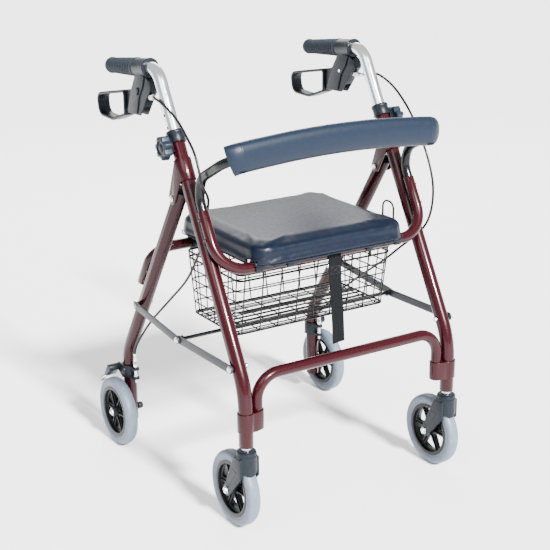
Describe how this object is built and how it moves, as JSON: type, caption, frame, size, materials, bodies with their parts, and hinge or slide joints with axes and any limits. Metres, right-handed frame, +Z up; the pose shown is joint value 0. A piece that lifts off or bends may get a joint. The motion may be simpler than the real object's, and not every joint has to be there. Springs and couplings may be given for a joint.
{
  "type": "rollator walker",
  "caption": "Folding wheeled walker with padded lift-up seat, bowed backrest, wire basket, swivelling front casters, height-adjustable handles and loop brakes.",
  "frame": {"origin": "on the floor, under the middle of the walker's width and length", "axes": "+Z up, -Y to the front (casters and backrest), +X to the left hand of the person walking behind it"},
  "size_m": [0.597, 0.6124, 0.8738],
  "materials": {
    "burgundy_paint": "metallic burgundy gloss enamel on round tube",
    "bright_metal": "bright anodised tube and zinc plated hardware",
    "grey_steel": "satin grey on flat steel bar",
    "black_steel": "satin black coating",
    "black_plastic": "satin charcoal moulded plastic",
    "grip_rubber": "matt ribbed charcoal rubber",
    "tyre_rubber": "satin light blue-grey solid tyre",
    "rim_plastic": "satin black moulded rim",
    "seat_vinyl": "navy-black grained vinyl",
    "foam": "navy-black closed-cell foam",
    "webbing": "black woven webbing",
    "cable_black": "black cable housing"
  },
  "bodies": {
    "front_frame": {"front_leg_left": "burgundy_paint", "front_leg_right": "burgundy_paint", "front_seat_tube": "burgundy_paint", "lower_cross_tube": "burgundy_paint", "leg_clamp_left": "burgundy_paint", "leg_clamp_right": "burgundy_paint", "fold_bracket_left": "burgundy_paint", "fold_bracket_right": "burgundy_paint", "backrest_tube": "black_steel", "backrest_pad": "foam", "height_collar_left": "black_plastic", "height_collar_right": "black_plastic", "brake_cable_left": "cable_black", "brake_cable_right": "cable_black"},
    "rear_frame": {"rear_leg_left": "burgundy_paint", "rear_leg_right": "burgundy_paint", "rear_seat_tube": "burgundy_paint", "seat_rest_left": "black_plastic", "seat_rest_right": "black_plastic", "fold_bolt_left": "bright_metal", "fold_bolt_right": "bright_metal", "rear_axle_left": "bright_metal", "rear_axle_right": "bright_metal", "brake_clamp_left": "black_plastic", "brake_clamp_right": "black_plastic"},
    "front_braces": {"front_brace_left": "grey_steel", "front_brace_right": "grey_steel", "cross_rod": "black_steel"},
    "rear_braces": {"rear_brace_left": "grey_steel", "rear_brace_right": "grey_steel"},
    "seat": {"seat_board": "black_plastic", "seat_cushion": "seat_vinyl"},
    "basket": {"basket": "black_steel"},
    "strap": {"fold_strap": "webbing"},
    "handle_left": {"handle_tube_left": "bright_metal", "grip_left": "grip_rubber", "brake_bracket_left": "black_plastic"},
    "brake_lever_left": {"brake_lever_left": "black_plastic"},
    "height_knob_left": {"height_knob_left": "black_plastic"},
    "brake_arm_left": {"brake_arm_left": "black_plastic"},
    "caster_left": {"caster_fork_left": "black_plastic", "caster_stem_left": "bright_metal", "front_axle_left": "bright_metal"},
    "front_wheel_left": {"front_rim_left": "rim_plastic", "front_tyre_left": "tyre_rubber"},
    "rear_wheel_left": {"rear_rim_left": "rim_plastic", "rear_tyre_left": "tyre_rubber"},
    "handle_right": {"handle_tube_right": "bright_metal", "grip_right": "grip_rubber", "brake_bracket_right": "black_plastic"},
    "brake_lever_right": {"brake_lever_right": "black_plastic"},
    "height_knob_right": {"height_knob_right": "black_plastic"},
    "brake_arm_right": {"brake_arm_right": "black_plastic"},
    "caster_right": {"caster_fork_right": "black_plastic", "caster_stem_right": "bright_metal", "front_axle_right": "bright_metal"},
    "front_wheel_right": {"front_rim_right": "rim_plastic", "front_tyre_right": "tyre_rubber"},
    "rear_wheel_right": {"rear_rim_right": "rim_plastic", "rear_tyre_right": "tyre_rubber"}
  },
  "joints": [
    {"name": "fold", "type": "hinge", "parent": "front_frame", "child": "rear_frame", "pos_m": [0, -0.0365, 0.617], "axis": [-1, 0, 0], "range_deg": [0, 35], "deforming": ["brake_cable_left", "brake_cable_right"]},
    {"name": "basket_swing", "type": "hinge", "parent": "front_frame", "child": "basket", "pos_m": [0, -0.18815, 0.5015], "axis": [-1, 0, 0], "range_deg": [0, 50]},
    {"name": "strap_swing", "type": "hinge", "parent": "front_frame", "child": "strap", "pos_m": [0.013, -0.18815, 0.5015], "axis": [-1, 0, 0], "range_deg": [0, 28]},
    {"name": "front_brace_fold", "type": "hinge", "parent": "front_frame", "child": "front_braces", "pos_m": [0, -0.25057, 0.33396], "axis": [-1, 0, 0], "range_deg": [0, 62.3]},
    {"name": "rear_brace_fold", "type": "hinge", "parent": "rear_frame", "child": "rear_braces", "pos_m": [0, 0.1402, 0.34901], "axis": [1, 0, 0], "range_deg": [0, 82.4]},
    {"name": "seat_lift", "type": "hinge", "parent": "front_frame", "child": "seat", "pos_m": [0, -0.18815, 0.5015], "axis": [1, 0, 0], "range_deg": [0, 55]},
    {"name": "handle_height_left", "type": "slide", "parent": "front_frame", "child": "handle_left", "axis": [0, 0.4802, 0.8771], "range_m": [-0.0508, 0.0762], "deforming": ["brake_cable_left"]},
    {"name": "brake_lever_left_pivot", "type": "hinge", "parent": "handle_left", "child": "brake_lever_left", "pos_m": [0.2445, 0.106, 0.803], "axis": [1, 0, 0], "range_deg": [-12, 14], "stiffness_Nm_per_rad": 1.2},
    {"name": "height_knob_left_turn", "type": "hinge", "parent": "front_frame", "child": "height_knob_left", "pos_m": [0.2445, -0.03961, 0.71929], "axis": [1, 0, 0], "continuous": true},
    {"name": "brake_arm_left_pivot", "type": "hinge", "parent": "rear_frame", "child": "brake_arm_left", "pos_m": [0.277, 0.247, 0.174], "axis": [-1, 0, 0], "range_deg": [-2.2, 2.2]},
    {"name": "caster_left_swivel", "type": "hinge", "parent": "front_frame", "child": "caster_left", "pos_m": [0.2445, -0.273, 0.0762], "axis": [0, 0, 1], "continuous": true},
    {"name": "front_wheel_left_spin", "type": "hinge", "parent": "caster_left", "child": "front_wheel_left", "pos_m": [0.2445, -0.23, 0.0762], "axis": [1, 0, 0], "continuous": true},
    {"name": "rear_wheel_left_spin", "type": "hinge", "parent": "rear_frame", "child": "rear_wheel_left", "pos_m": [0.277, 0.23, 0.0762], "axis": [1, 0, 0], "continuous": true},
    {"name": "handle_height_right", "type": "slide", "parent": "front_frame", "child": "handle_right", "axis": [0, 0.4802, 0.8771], "range_m": [-0.0508, 0.0762], "deforming": ["brake_cable_right"]},
    {"name": "brake_lever_right_pivot", "type": "hinge", "parent": "handle_right", "child": "brake_lever_right", "pos_m": [-0.2445, 0.106, 0.803], "axis": [1, 0, 0], "range_deg": [-12, 14], "stiffness_Nm_per_rad": 1.2},
    {"name": "height_knob_right_turn", "type": "hinge", "parent": "front_frame", "child": "height_knob_right", "pos_m": [-0.2445, -0.03961, 0.71929], "axis": [-1, 0, 0], "continuous": true},
    {"name": "brake_arm_right_pivot", "type": "hinge", "parent": "rear_frame", "child": "brake_arm_right", "pos_m": [-0.277, 0.247, 0.174], "axis": [-1, 0, 0], "range_deg": [-2.2, 2.2]},
    {"name": "caster_right_swivel", "type": "hinge", "parent": "front_frame", "child": "caster_right", "pos_m": [-0.2445, -0.273, 0.0762], "axis": [0, 0, 1], "continuous": true},
    {"name": "front_wheel_right_spin", "type": "hinge", "parent": "caster_right", "child": "front_wheel_right", "pos_m": [-0.2445, -0.23, 0.0762], "axis": [1, 0, 0], "continuous": true},
    {"name": "rear_wheel_right_spin", "type": "hinge", "parent": "rear_frame", "child": "rear_wheel_right", "pos_m": [-0.277, 0.23, 0.0762], "axis": [1, 0, 0], "continuous": true}
  ],
  "couplings": [
    {"joint": "basket_swing", "follows": "fold", "ratio": 1.4286},
    {"joint": "strap_swing", "follows": "fold", "ratio": 0.8},
    {"joint": "front_brace_fold", "follows": "fold", "ratio": 1.7771},
    {"joint": "rear_brace_fold", "follows": "fold", "ratio": 2.3514},
    {"joint": "brake_arm_left_pivot", "follows": "brake_lever_left_pivot", "ratio": 0.15},
    {"joint": "brake_arm_right_pivot", "follows": "brake_lever_right_pivot", "ratio": 0.15}
  ]
}
